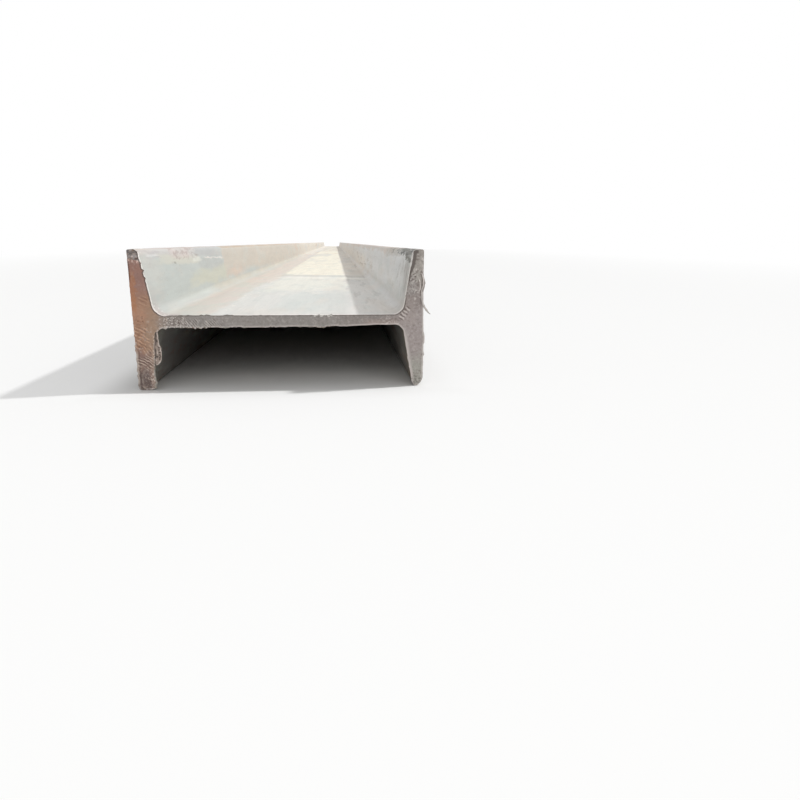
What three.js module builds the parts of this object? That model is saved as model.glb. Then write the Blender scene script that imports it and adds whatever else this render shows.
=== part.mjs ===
// Hot-rolled steel I-beam with tapered flanges, section 24a, lying on its flange tips.
// Millimetres, +Z up. X runs across the section's depth, Y along the length, Z across the flanges.
// The origin is the middle of the base.
import * as THREE from 'three';

// Rolled section
const SECTION_DEPTH = 240;      // over the two flange backs
const FLANGE_WIDTH = 116;       // edge to edge of one flange
const WEB_THICKNESS = 8;
const FLANGE_THICKNESS = 13;    // at a quarter of the flange's overhang, as the section tables give it
const INNER_SLOPE = 1 / 6;      // rise of the flange's inner face for each millimetre towards the web
const ROOT_RADIUS = 10;         // fillet between web and flange
const TOE_RADIUS = 5;           // rounding of the flange's inner edge
const BACK_EDGE_RADIUS = 1.5;   // rounding of the flange's outer edge

// Stock length
const BEAM_LENGTH = 9000;

// Facets of each rounding
const ROOT_FACETS = 14;
const TOE_FACETS = 10;
const BACK_EDGE_FACETS = 4;

const MILL_SCALE_COLOUR = 0xa3a19c;
const MILL_SCALE_ROUGHNESS = 0.55;
const MILL_SCALE_METALNESS = 0.35;

// One quarter of the outline: the half flange that stands above the web on the +X side,
// written about the section's centre, from the flange's back to the web.
function quarterOutline() {
  const halfDepth = SECTION_DEPTH / 2;
  const halfWidth = FLANGE_WIDTH / 2;
  const halfWeb = WEB_THICKNESS / 2;
  const gaugeDistance = (FLANGE_WIDTH - WEB_THICKNESS) / 4;
  const slopeAngle = Math.atan(INNER_SLOPE);
  // x of the flange's inner face at height z above the web's middle plane
  const innerFace = (z) => halfDepth - FLANGE_THICKNESS - (halfWidth - z - gaugeDistance) * INNER_SLOPE;
  const points = [];
  const arc = (cx, cz, radius, from, to, facets) => {
    for (let i = 0; i <= facets; i += 1) {
      const angle = from + ((to - from) * i) / facets;
      points.push(new THREE.Vector2(cx + radius * Math.cos(angle), cz + radius * Math.sin(angle)));
    }
  };
  // outer edge of the flange
  arc(halfDepth - BACK_EDGE_RADIUS, halfWidth - BACK_EDGE_RADIUS, BACK_EDGE_RADIUS,
    0, Math.PI / 2, BACK_EDGE_FACETS);
  // toe: touches the flange's edge and its tapered inner face
  const toeZ = halfWidth - TOE_RADIUS;
  const toeX = innerFace(toeZ) + TOE_RADIUS / Math.cos(slopeAngle);
  arc(toeX, toeZ, TOE_RADIUS, Math.PI / 2, Math.PI - slopeAngle, TOE_FACETS);
  // root: touches the tapered inner face and the web
  const rootZ = halfWeb + ROOT_RADIUS;
  const rootX = innerFace(rootZ) - ROOT_RADIUS / Math.cos(slopeAngle);
  arc(rootX, rootZ, ROOT_RADIUS, -slopeAngle, -Math.PI / 2, ROOT_FACETS);
  return points;
}

// The whole outline, anticlockwise, from its quarter mirrored in both middle planes.
function sectionOutline() {
  const quarter = quarterOutline();
  const mirrored = (sx, sz) => {
    const points = quarter.map((p) => new THREE.Vector2(sx * p.x, sz * p.y));
    return sx * sz > 0 ? points : points.reverse();
  };
  const points = [
    ...mirrored(1, 1),
    ...mirrored(-1, 1),
    ...mirrored(-1, -1),
    ...mirrored(1, -1),
  ];
  return points.map((p) => new THREE.Vector2(p.x, p.y + FLANGE_WIDTH / 2));
}

function beamGeometry() {
  const geometry = new THREE.ExtrudeGeometry(new THREE.Shape(sectionOutline()), {
    depth: BEAM_LENGTH,
    bevelEnabled: false,
    steps: 1,
  });
  // the outline's plane is stood up, and the extrusion runs along Y
  geometry.rotateX(Math.PI / 2);
  geometry.translate(0, BEAM_LENGTH / 2, 0);
  return geometry;
}

const beam = new THREE.Mesh(beamGeometry(), new THREE.MeshStandardMaterial({
  color: MILL_SCALE_COLOUR,
  roughness: MILL_SCALE_ROUGHNESS,
  metalness: MILL_SCALE_METALNESS,
}));
beam.name = 'i_beam';

const part = new THREE.Group();
part.name = 'steel_i_beam';
part.add(beam);

export default part;
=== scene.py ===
"""Looks of the hot-rolled steel I-beam: skin, sawn ends, burrs, floor, light and camera."""

import itertools
import math

import bpy
import numpy as np
from mathutils import Matrix, Vector
from mathutils.geometry import delaunay_2d_cdt


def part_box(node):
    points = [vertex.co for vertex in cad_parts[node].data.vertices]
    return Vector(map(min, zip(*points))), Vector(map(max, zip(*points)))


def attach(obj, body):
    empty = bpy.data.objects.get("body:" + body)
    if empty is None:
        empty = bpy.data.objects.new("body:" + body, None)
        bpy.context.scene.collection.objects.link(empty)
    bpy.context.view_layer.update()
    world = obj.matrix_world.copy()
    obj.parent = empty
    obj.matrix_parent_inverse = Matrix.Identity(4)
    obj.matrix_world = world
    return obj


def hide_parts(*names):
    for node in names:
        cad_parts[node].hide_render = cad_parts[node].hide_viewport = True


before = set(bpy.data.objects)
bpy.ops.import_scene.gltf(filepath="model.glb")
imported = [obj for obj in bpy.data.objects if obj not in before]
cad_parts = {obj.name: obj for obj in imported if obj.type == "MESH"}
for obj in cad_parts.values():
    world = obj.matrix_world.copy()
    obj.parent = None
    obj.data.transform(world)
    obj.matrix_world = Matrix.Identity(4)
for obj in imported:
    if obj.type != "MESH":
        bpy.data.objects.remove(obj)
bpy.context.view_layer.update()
LOW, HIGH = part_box("i_beam")

# ---------------------------------------------------------------- sizes
# Lengths are in millimetres; LOW, HIGH, NEAR_Y, FAR_Y and what goes to Blender are in metres
MM = 0.001
DEPTH = (HIGH.x - LOW.x) / MM
WIDTH = (HIGH.z - LOW.z) / MM
LENGTH = (HIGH.y - LOW.y) / MM
NEAR_Y = LOW.y
FAR_Y = HIGH.y

# The rolled section, as the solid has it
WEB_THICKNESS = 8.0
FLANGE_THICKNESS = 13.0
INNER_SLOPE = 1 / 6
ROOT_RADIUS = 10.0
TOE_RADIUS = 5.0
BACK_EDGE_RADIUS = 1.5
HALF_DEPTH = DEPTH / 2
HALF_WIDTH = WIDTH / 2
WEB_TOP = HALF_WIDTH + WEB_THICKNESS / 2
WEB_BOTTOM = HALF_WIDTH - WEB_THICKNESS / 2

# Mesh density: each coarse step of the outline is cut in FINE near the sawn ends
FINE = 8
NEAR_CAP_GRID = 0.55
FAR_CAP_GRID = 0.95
CUT_RINGS = (0.0, 0.2, 0.45, 0.8, 1.3, 2.0, 3.0, 4.5, 7.0)
BODY_FIRST_STEP = 4.0
BODY_STEP_GROWTH = 1.22
BODY_LONGEST_STEP = 260.0

# How far in from the cut its burr, worn foot, sawn face's shape and relief fade
BURR_DEPTH = 0.9
DENT_DEPTH = 14.0
PROUD_DEPTH = 1.2
RELIEF_DEPTH = 0.6
# The burr also stands out of the cut's plane, by a share of its reach up to a limit
BURR_CURL = 0.3
BURR_CURL_LIMIT = 1.5
# Heights of the saw ridges and of the slow wave across a cut
RIDGE_HEIGHT = 0.28
CUT_WAVE = 0.25
# Waviness that rolling leaves in the faces, and more of it in the flanges' edges
FACE_WAVE = 0.16
EDGE_WAVE = 0.22
# The underside stays above the floor by up to twice this
FLOOR_CLEARANCE = 0.03
BEAD_PITCH = 2.9
LIP_TOP = 48.0
RIGHT_FOOT_RADIUS = 8.5
LEFT_FOOT_RADIUS = 3.6
NEAR_SEED = 61
FAR_SEED = 71

# The baked picture: the cut faces' strip, where each starts across it and how wide it is, and
# how strongly the near end's length is stretched
MARGIN = 0.004
CAP_STRIP = 0.32
NEAR_CAP_PLACE = (0.006, 0.62)
FAR_CAP_PLACE = (0.64, 0.35)
NEAR_STRETCH = 0.35
STRETCH_FADE = 22

# The beam's material slots
SKIN_MATERIAL = 0
CUT_MATERIAL = 1


# ---------------------------------------------------------------- noise for shapes
def lattice(ix, iy, iz, seed):
    """A steady pseudo-random number from 0 to 1 for each lattice point."""
    n = ix * 374761393 + iy * 668265263 + iz * 2147483647 + seed * 974634777
    n = (n ^ (n >> 13)) * 1274126177
    n = n & 0x7FFFFFFF
    return ((n ^ (n >> 16)) & 0xFFFFFF) / float(0xFFFFFF)


def noise(x, y, z, seed):
    """Smooth value noise from -1 to 1, one lattice cell for each unit."""
    x, y, z = np.broadcast_arrays(np.asarray(x, float), np.asarray(y, float), np.asarray(z, float))
    cell = [np.floor(v).astype(np.int64) for v in (x, y, z)]
    part = [v - c for v, c in zip((x, y, z), cell)]
    ease = [p * p * (3 - 2 * p) for p in part]
    total = np.zeros(x.shape)
    for corner in itertools.product((0, 1), repeat=3):
        weight = np.ones(x.shape)
        for d, e in zip(corner, ease):
            weight = weight * (e if d else 1 - e)
        total += weight * lattice(*(c + d for c, d in zip(cell, corner)), seed)
    return total * 2 - 1


def rise(low, high, value):
    """0 at low, 1 at high, smooth between; low may be the larger."""
    t = np.clip((value - low) / (high - low), 0, 1)
    return t * t * (3 - 2 * t)


def inside(value, low, high, edge):
    """A smooth window that is 1 between low and high."""
    return rise(low - edge, low + edge, value) * rise(high + edge, high - edge, value)


# ---------------------------------------------------------------- the section's outline
def line_span(start, end, count):
    t = np.arange(count * FINE) / (count * FINE)
    return np.outer(1 - t, start) + np.outer(t, end)


def arc_span(centre, radius, start, end, count):
    angle = start + (end - start) * np.arange(count * FINE) / (count * FINE)
    return np.stack([centre[0] + radius * np.cos(angle), centre[1] + radius * np.sin(angle)], 1)


def quarter_outline():
    """From the middle of the right flange's back, over the tip, to the middle of the web."""
    half_web = WEB_THICKNESS / 2
    gauge = (WIDTH - WEB_THICKNESS) / 4
    slope = math.atan(INNER_SLOPE)

    def inner_x(z):
        return HALF_DEPTH - FLANGE_THICKNESS - (HALF_WIDTH - z - gauge) * INNER_SLOPE

    back = HALF_DEPTH - BACK_EDGE_RADIUS
    toe_z = HALF_WIDTH - TOE_RADIUS
    toe_x = inner_x(toe_z) + TOE_RADIUS / math.cos(slope)
    root_z = half_web + ROOT_RADIUS
    root_x = inner_x(root_z) - ROOT_RADIUS / math.cos(slope)
    toe_end = (toe_x - TOE_RADIUS * math.cos(slope), toe_z + TOE_RADIUS * math.sin(slope))
    root_start = (root_x + ROOT_RADIUS * math.cos(slope), root_z - ROOT_RADIUS * math.sin(slope))
    spans = [
        line_span((HALF_DEPTH, 0), (HALF_DEPTH, HALF_WIDTH - BACK_EDGE_RADIUS), 10),
        arc_span((back, HALF_WIDTH - BACK_EDGE_RADIUS), BACK_EDGE_RADIUS, 0, math.pi / 2, 2),
        line_span((back, HALF_WIDTH), (toe_x, HALF_WIDTH), 1),
        arc_span((toe_x, toe_z), TOE_RADIUS, math.pi / 2, math.pi - slope, 3),
        line_span(toe_end, root_start, 8),
        arc_span((root_x, root_z), ROOT_RADIUS, -slope, -math.pi / 2, 6),
        line_span((root_x, half_web), (0, half_web), 16),
        np.array([[0, half_web]]),
    ]
    return np.concatenate(spans)


def section_outline():
    """Fine outline points, anticlockwise seen from the near end, with z from the base up."""
    quarter = quarter_outline()
    back = quarter[::-1]
    whole = np.concatenate([
        quarter[:-1],
        (back * (-1, 1))[:-1],
        (quarter * (-1, -1))[:-1],
        (back * (1, -1))[:-1],
    ])
    return whole + (0, HALF_WIDTH)


OUTLINE = section_outline()
AHEAD = np.roll(OUTLINE, -1, 0) - np.roll(OUTLINE, 1, 0)
AHEAD /= np.linalg.norm(AHEAD, axis=1)[:, None]
OUTWARD = np.stack([AHEAD[:, 1], -AHEAD[:, 0]], 1)
STEP = np.linalg.norm(np.roll(OUTLINE, -1, 0) - OUTLINE, axis=1)
# Each outline point's place round the section, closed by the whole perimeter
ALONG = np.concatenate([[0], np.cumsum(STEP)])
COARSE_ALONG = ALONG[::FINE]
FINE_COUNT = len(OUTLINE)
COARSE_COUNT = FINE_COUNT // FINE


# ---------------------------------------------------------------- burrs and saw marks
# x runs across the section from its middle and z up from its base, and most limits of rise()
# and inside() here are places along them
def flange_reach(x, z, slow, teeth, facing):
    """How far the near end's burr stands out from the flanges."""
    left = rise(-96, -101, x)
    right = rise(96, 101, x)
    lower = rise(WEB_BOTTOM + 2, WEB_BOTTOM, z)
    upper = rise(WEB_TOP - 2, WEB_TOP, z)
    inner = rise(118, 116, np.abs(x))
    outer = rise(118.5, 119.8, np.abs(x))
    reach = right * lower * inner * 0.45 * rise(52, 38, z)
    reach += right * outer * (0.15 + 0.8 * inside(z, 22, 46, 7) + 0.3 * inside(z, 82, 94, 3))
    reach += left * outer * (0.2 + 0.3 * teeth * rise(52, 44, z))
    reach += left * upper * inner * (0.3 + (0.5 + 1.1 * teeth) * inside(z, 93, 104, 4))
    reach += right * upper * inner * 0.3 + web_top_reach(x, upper, teeth)
    # metal pushed into the rounded toes, which leaves their corners nearly square
    toe = rise(109.5, 111.5, z) * inner * (2 * facing[:, 0] * facing[:, 1]) ** 2
    reach = reach * (0.65 + 0.35 * slow + 1.1 * teeth) + toe * (0.9 * right + 0.5 * left)
    return reach + right * outer * 1.2 * inside(z, 84, 92, 4)


def web_top_reach(x, upper, teeth):
    """The web's upper edge: thicker at the left, with a few teeth right of the middle."""
    on_web_top = rise(-100, -82, x) * rise(98, 94, x)
    return upper * on_web_top * (0.12 + 0.7 * rise(0, -50, x) + 0.8 * inside(x, 29, 42, 3) * teeth)


def web_bottom_reach(x, z, slow):
    """The web's lower edge: a thick nibbled burr at the left, thinner to the right."""
    lower = rise(WEB_BOTTOM + 2, WEB_BOTTOM, z)
    nibbled = np.maximum(0, noise(x / 1.5, 0, 9, 13))
    gentle = 0.78 + 0.2 * slow + 0.55 * nibbled * rise(90, 30, x)
    reach = lower * inside(x, -96, 96, 2) * gentle * (2.1 - 1.5 * rise(20, 90, x))
    return reach + lower * inside(x, -104, -94, 1.5) * 1.3


def near_burr(x, z, facing):
    """How far the near end's burr moves each outline point along x and z."""
    slow = noise(x / 9, z / 9, 0, 11)
    teeth = np.maximum(0, noise(x / 2.1, z / 2.1, 3, 12))
    reach = flange_reach(x, z, slow, teeth, facing) + web_bottom_reach(x, z, slow)
    shift = facing * reach[:, None]
    # the lip that hangs off the left leg's inner side, wider towards its foot
    lip = 0.115 * np.clip(LIP_TOP - z, 0, 42) + 1.3 * rise(16, 5, z)
    lip = lip * rise(-96, -101, x) * rise(0.0, 0.8, facing[:, 0])
    shift[:, 0] += lip * (0.9 + 0.12 * slow + 0.25 * teeth)
    return shift


def worn_foot(x, z, foot_radius):
    """Moves the outline in where a leg's outer foot is rubbed round at the near end."""
    away_x, away_z = x - (HALF_DEPTH - foot_radius), z - foot_radius
    radius = np.hypot(away_x, away_z)
    worn = (away_x > 0) & (away_z < 0) & (radius > foot_radius)
    share = np.where(worn, foot_radius / np.maximum(radius, 0.001) - 1, 0)
    return np.stack([away_x * share, away_z * share], 1)


def worn_tip(x, z):
    """Moves the outline in where the left flange's tip is thinner and lower at the near end."""
    inner_side = rise(-117, -112, x) * rise(-96, -104, x)
    lower = rise(111, 115, z) * rise(-100, -106, x)
    thinner = 0.5 * rise(62, 72, z) + 0.8 * rise(86, 104, z)
    return np.stack([-thinner * inner_side, -0.6 * lower], 1)


def far_burr(x, z, facing):
    """The far end's burr, all round, heavier on the lower edges."""
    low_side = 0.3 + 0.8 * rise(WEB_BOTTOM + 2, WEB_BOTTOM, z)
    teeth = np.maximum(0, noise(x / 2.3, z / 2.3, 7, 21))
    reach = low_side * (0.6 + 0.4 * noise(x / 8, z / 8, 2, 22) + 0.6 * teeth)
    return facing * reach[:, None]


def ridges(across, period, sharpness=1.0):
    """Saw lines at a steady period: 1 on the ridges, -1 in the grooves."""
    wave = np.sin(across * 2 * math.pi / period)
    return np.sign(wave) * np.abs(wave) ** sharpness


def worms(x, z, width, height, plane, seed, slow):
    """Curled marks, bright and dark by turns."""
    return np.sin(7.5 * noise(x / width, z / height, plane, seed) + 3.0 * slow)


def left_leg_lines(x, z, slow):
    """Saw lines down the left flange: straight above, curved below, two ticks at the top."""
    run = x + HALF_DEPTH
    curve = z + 0.40 * run + 0.016 * run * run
    curve = curve + 0.5 * noise(x / 5, z / 6, 0, 41) + 0.5 * noise(x / 2, z / 2.4, 0, 46)
    lower = rise(-105.5, -108.0, x) * inside(z, 17, 31, 2.5)
    lower = lower * (1 - rise(-112, -114.5, x) * rise(26, 29, z))
    lower = 1.15 * lower * (0.85 + 0.5 * slow + 0.7 * noise(x / 2.5, z / 2.5, 0, 42))
    faint = rise(-104, -108, x) * inside(z, 56, 84, 5) * 0.18
    relief = (lower + faint) * (ridges(curve, 2.6, 0.8) + 0.15)
    straighter = z + 0.50 * run + 0.004 * run * run + 0.9 * noise(x / 3, z / 4, 0, 60)
    upper = rise(-107.0, -110.5, x) * inside(z, 34.5, 53.5, 1.6)
    upper = upper * (0.72 + 0.70 * noise(x / 1.9, z / 1.9, 0, 66))
    relief += upper * (ridges(straighter - 0.9, 3.2, 0.8) + 0.1)
    steep = inside(z, 31, 38, 2.0) * inside(x, -113.5, -105.5, 1.5)
    relief += steep * 0.7 * ridges(0.84 * x + 0.54 * z + 0.6 * noise(x / 3, z / 4, 0, 44), 2.3)
    ticks = inside(x, -114.5, -107.5, 1.2) * inside(z, 70.5, 78.0, 1.0)
    return relief + ticks * 1.1 * ridges(z + 0.47 * x + 0.4 * noise(x / 3, z / 3, 0, 58) + 0.6, 3.3)


def web_marks(x, z, slow):
    """Hatching on the left part of the web, and worm-like marks beside both roots."""
    rows = inside(z, WEB_BOTTOM - 2.2, WEB_TOP - 2.2, 1.0)
    broken = 0.5 + 0.5 * noise(x / 2.5, z / 2.5, 0, 49)
    hatch = inside(x, -82, -48, 6) * rows * (1.0 + 0.7 * slow) * broken
    relief = hatch * ridges(0.78 * x + 0.63 * z + 0.6 * noise(x / 4, z / 4, 0, 43), 1.75)
    curls = worms(x, z, 2.4, 2.2, 0, 34, slow)
    bits = worms(x, z, 1.5, 1.4, 6, 57, slow)
    relief += inside(x, -96, -76, 2.5) * rows * (0.35 * curls + 0.75 * bits)
    return relief + inside(x, 84, 100, 4) * inside(z, 50, 60, 2) * curls * 0.6


def right_flange_marks(x, z, slow):
    """Short ticks round the right root, scuffs and scratches above them, and one knock."""
    along = 0.82 * x - 0.57 * z
    across = 0.57 * x + 0.82 * z
    ticks = inside(along, 46.8, 51.8, 0.8) * inside(across, 105.0, 117.6, 0.8)
    bend = 0.5 * noise(x / 2.2, z / 2.2, 0, 45)
    relief = ticks * ridges(across - 114.6 + bend, 2.9, 0.8) * (1.1 + 0.4 * slow)
    scuffed = inside(x, 106, 121, 2) * inside(z, 74, 104, 6)
    relief += scuffed * 0.6 * worms(x, z, 1.8, 1.7, 5, 48, slow)
    scratched = inside(x, 108.6, 113.8, 0.8) * inside(z, 89.0, 98.0, 1.2)
    relief += scratched * 0.9 * ridges(0.71 * (z - x) + 0.8 * noise(x / 2, z / 2, 0, 59), 2.7)
    return relief + 1.4 * np.exp(-((x - 112.7) ** 2 + (z - 75.4) ** 2) / 1.2)


def near_relief(x, z):
    """Relief of the near sawn face from -1 to 1."""
    slow = noise(x / 6, z / 6, 0, 30)
    relief = 0.34 * noise(x / 1.2, z / 1.2, 0, 31) + 0.26 * noise(x / 2.6, z / 2.6, 0, 32)
    relief += left_leg_lines(x, z, slow) + web_marks(x, z, slow) + right_flange_marks(x, z, slow)
    mottled = rise(100, 103, np.abs(x)) * (rise(103, 109, z) + rise(18, 12, z))
    curls = worms(x, z, 2.4, 2.2, 0, 34, slow)
    relief += mottled * (0.4 * curls + 0.35 * noise(x / 1.6, z / 1.6, 4, 47))
    return np.clip(relief, -1, 1)


def far_relief(x, z):
    """Relief of the far sawn face from -1 to 1: even saw lines across the whole cut."""
    across = 0.41 * x + 0.91 * z + 2.0 * noise(x / 22, z / 22, 0, 51)
    lines = ridges(across, 2.9, 0.8) * (0.45 + 0.4 * noise(x / 18, z / 18, 0, 53))
    return np.clip(lines + 0.35 * noise(x / 1.6, z / 1.6, 0, 54), -1, 1)


def end_offset(x, z, relief, seed):
    """How far the sawn face stands out of its plane."""
    return RIDGE_HEIGHT * relief + CUT_WAVE * noise(x / 55, z / 55, 0, seed)


# ---------------------------------------------------------------- the beam's mesh
def body_stations():
    """Distances from an end of the coarse rings over half the length."""
    stations = []
    place = CUT_RINGS[-1] + BODY_FIRST_STEP
    step = BODY_FIRST_STEP
    while place < LENGTH / 2:
        stations.append(place)
        step = min(step * BODY_STEP_GROWTH, BODY_LONGEST_STEP)
        place += step
    return stations


def ring_points(x, z, facing, distance, burr, dent, seed):
    """Outline points of one ring, moved by rolling waviness, the burr and the worn foot."""
    wave = FACE_WAVE * noise(x / 40, distance / 160, z / 40, seed)
    edge = rise(HALF_WIDTH - 4, HALF_WIDTH, np.abs(z - HALF_WIDTH))
    wave = wave + EDGE_WAVE * edge * noise(x / 30, distance / 45, z / 30, seed + 1)
    shift = facing * wave[:, None] + burr * math.exp(-distance / BURR_DEPTH)
    shift = shift + dent * math.exp(-distance / DENT_DEPTH)
    on_floor = FLOOR_CLEARANCE * (1 + noise(x / 3, distance / 30, 0, seed + 2))
    return x + shift[:, 0], np.maximum(z + shift[:, 1], on_floor)


def cap_points(edge, grid):
    """Grid points well inside a cut face's edge."""
    xs = np.arange(-HALF_DEPTH, HALF_DEPTH, grid)
    zs = np.arange(0, WIDTH, grid * 0.9)
    gx, gz = np.meshgrid(xs, zs)
    gx = gx + (np.arange(len(zs)) % 2)[:, None] * grid / 2
    gx, gz = gx.ravel(), gz.ravel()
    keep = inside_edge(edge, gx, gz) & (edge_distance(edge, gx, gz) > 0.9 * grid)
    return gx[keep], gz[keep]


def inside_edge(edge, x, z):
    """Whether points lie inside a closed edge, by its crossings."""
    crossings = np.zeros(x.shape, int)
    for (ax, az), (bx, bz) in zip(edge, np.roll(edge, -1, 0)):
        if az == bz:
            continue
        spans = (az > z) != (bz > z)
        crossings += spans & (x < ax + (z - az) / (bz - az) * (bx - ax))
    return crossings % 2 == 1


def edge_distance(edge, x, z):
    """Distance from each point to the nearest point of an edge."""
    nearest = np.full(x.shape, np.inf)
    for px, pz in edge:
        nearest = np.minimum(nearest, (x - px) ** 2 + (z - pz) ** 2)
    return np.sqrt(nearest)


class BeamMesh:
    """Gathers the beam's vertices, faces, baking map and surface values."""

    def __init__(self):
        self.points = []
        self.relief = []
        self.rim = []
        self.faces = []
        self.materials = []
        self.maps = []

    def add_points(self, x, y, z, relief, rim):
        first = len(self.points)
        self.points.extend(np.stack([x * MM, y, z * MM], 1).tolist())
        self.relief.extend(np.broadcast_to(relief, x.shape).tolist())
        self.rim.extend(np.broadcast_to(rim, x.shape).tolist())
        return first

    def add_face(self, corners, material, forwards):
        """A face from its corners, each one a vertex and its place on the baked picture."""
        if not forwards:
            corners = corners[::-1]
        self.faces.append([vertex for vertex, uv in corners])
        self.maps.extend(uv for vertex, uv in corners)
        self.materials.append(material)


def length_share(y):
    """Place along the baked picture of a place along the beam: the near end gets more of it."""
    t = (y - NEAR_Y) / (FAR_Y - NEAR_Y)
    stretched = (1 - math.exp(-t * STRETCH_FADE)) / (1 - math.exp(-STRETCH_FADE))
    return (1 - NEAR_STRETCH) * t + NEAR_STRETCH * stretched


def ring_corner(ring, along, index):
    """A ring's vertex with its place on the baked picture; the last index closes the ring."""
    first, y = ring
    u = MARGIN + (1 - 2 * MARGIN) * length_share(y)
    v = MARGIN + (1 - CAP_STRIP - 3 * MARGIN) * along[index] / along[-1]
    return first + index % (len(along) - 1), (u, v)


def join_rings(mesh, rings, along, forwards):
    """Quads between neighbouring rings."""
    for near, far in zip(rings, rings[1:]):
        for j in range(len(along) - 1):
            turns = ((near, j), (far, j), (far, j + 1), (near, j + 1))
            quad = [ring_corner(ring, along, index) for ring, index in turns]
            mesh.add_face(quad, SKIN_MATERIAL, forwards)


def join_fine_to_coarse(mesh, fine, coarse, forwards):
    """Fans from each coarse vertex to the fine ones it faces."""
    for i in range(COARSE_COUNT):
        here = ring_corner(coarse, COARSE_ALONG, i)
        after = ring_corner(coarse, COARSE_ALONG, i + 1)
        middle = i * FINE + FINE // 2
        for j in range(i * FINE, (i + 1) * FINE):
            apex = here if j < middle else after
            fan = [ring_corner(fine, ALONG, j), apex, ring_corner(fine, ALONG, j + 1)]
            mesh.add_face(fan, SKIN_MATERIAL, forwards)
        mesh.add_face([ring_corner(fine, ALONG, middle), here, after], SKIN_MATERIAL, forwards)


def add_end(mesh, plane_y, inward, burr, dent, relief_of, seed, picture_place, grid):
    """One sawn end: the fine rings behind its ragged edge, then the cut face; gives the rings."""
    x, z = OUTLINE.T
    relief = relief_of(x, z)
    reach = np.minimum(np.linalg.norm(burr, axis=1), BURR_CURL_LIMIT)
    rings = []
    for distance in CUT_RINGS:
        rx, rz = ring_points(x, z, OUTWARD, distance, burr, dent, seed)
        out = end_offset(x, z, relief, seed) + BURR_CURL * reach
        y = plane_y + inward * (distance - out * math.exp(-distance / PROUD_DEPTH)) * MM
        first = mesh.add_points(rx, y, rz, relief * math.exp(-distance / RELIEF_DEPTH), distance)
        rings.append((first, plane_y + inward * distance * MM))
    join_rings(mesh, rings, ALONG, inward > 0)
    add_cap(mesh, rings[0][0], plane_y, inward, relief_of, seed, picture_place, grid)
    return rings


def triangulate(edge, gx, gz):
    """Triangles over a closed edge and the points inside it, numbered edge first."""
    points = [Vector(p) for p in edge] + [Vector(p) for p in zip(gx, gz)]
    result = delaunay_2d_cdt(points, [], [list(range(len(edge)))], 1, 1e-7)
    triangles, origins = result[2], result[3]
    if any(len(o) != 1 for o in origins):
        raise ValueError("a cut face's edge crosses itself")
    return [[origins[v][0] for v in triangle] for triangle in triangles]


def add_cap(mesh, ring_first, plane_y, inward, relief_of, seed, picture_place, grid):
    """The sawn face: a fine triangulation inside its own ragged edge."""
    rim = mesh.points[ring_first:ring_first + FINE_COUNT]
    edge = np.array([(p[0] / MM, p[2] / MM) for p in rim])
    gx, gz = cap_points(edge, grid)
    relief = relief_of(gx, gz)
    y = plane_y - inward * end_offset(gx, gz, relief, seed) * MM
    first = mesh.add_points(gx, y, gz, relief, edge_distance(edge, gx, gz))
    vertices = list(range(ring_first, ring_first + FINE_COUNT)) + list(range(first, first + len(gx)))
    start, width = picture_place
    flat = np.concatenate([edge, np.stack([gx, gz], 1)]) + (HALF_DEPTH, 0)
    maps = (flat * width / DEPTH + (start, 1 - CAP_STRIP + 2 * MARGIN)).tolist()
    for triangle in triangulate(edge, gx, gz):
        corners = [(vertices[v], maps[v]) for v in triangle]
        mesh.add_face(corners, CUT_MATERIAL, inward > 0)


def add_body(mesh, near_last, far_last, near_dent):
    """The coarse rings between the two cut ends."""
    x, z = OUTLINE[::FINE].T
    half = body_stations()
    still = np.zeros((len(x), 2))
    rings = []
    for distance in half + [LENGTH - place for place in reversed(half)]:
        dent = near_dent[::FINE]
        rx, rz = ring_points(x, z, OUTWARD[::FINE], distance, still, dent, NEAR_SEED)
        y = NEAR_Y + distance * MM
        first = mesh.add_points(rx, np.full(x.shape, y), rz, 0.0, min(distance, LENGTH - distance))
        rings.append((first, y))
    join_fine_to_coarse(mesh, near_last, rings[0], True)
    join_rings(mesh, rings, COARSE_ALONG, True)
    join_fine_to_coarse(mesh, far_last, rings[-1], False)


def new_object(name, data):
    item = bpy.data.objects.new(name, data)
    bpy.context.scene.collection.objects.link(item)
    return item


def new_piece(name, points, faces, values):
    """A smooth closed piece from points in metres, with named values at its vertices."""
    data = bpy.data.meshes.new(name)
    data.from_pydata([tuple(p) for p in points], [], faces)
    data.update()
    data.polygons.foreach_set("use_smooth", [True] * len(faces))
    for value_name, numbers in values.items():
        layer = data.attributes.new(value_name, "FLOAT", "POINT")
        layer.data.foreach_set("value", np.array(numbers, np.float32))
    return new_object(name, data)


def build_beam():
    """The whole beam as one closed mesh."""
    mesh = BeamMesh()
    x, z = OUTLINE.T
    foot = worn_foot(x, z, RIGHT_FOOT_RADIUS)
    foot = foot + worn_foot(-x, z, LEFT_FOOT_RADIUS) * (-1, 1) + worn_tip(x, z)
    burr = near_burr(x, z, OUTWARD)
    near = add_end(mesh, NEAR_Y, 1, burr, foot, near_relief, NEAR_SEED, NEAR_CAP_PLACE, NEAR_CAP_GRID)
    burr = far_burr(x, z, OUTWARD)
    far = add_end(mesh, FAR_Y, -1, burr, foot * 0, far_relief, FAR_SEED, FAR_CAP_PLACE, FAR_CAP_GRID)
    add_body(mesh, near[-1], far[-1], foot)
    beam = new_piece("rolled_beam", mesh.points, mesh.faces, {"relief": mesh.relief, "rim": mesh.rim})
    beam.data.polygons.foreach_set("material_index", mesh.materials)
    uv = beam.data.uv_layers.new(name="OFBake")
    uv.data.foreach_set("uv", np.array(mesh.maps, np.float32).ravel())
    mark_cut_edges(beam.data, (near[0][0], far[0][0]))
    return beam


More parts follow.
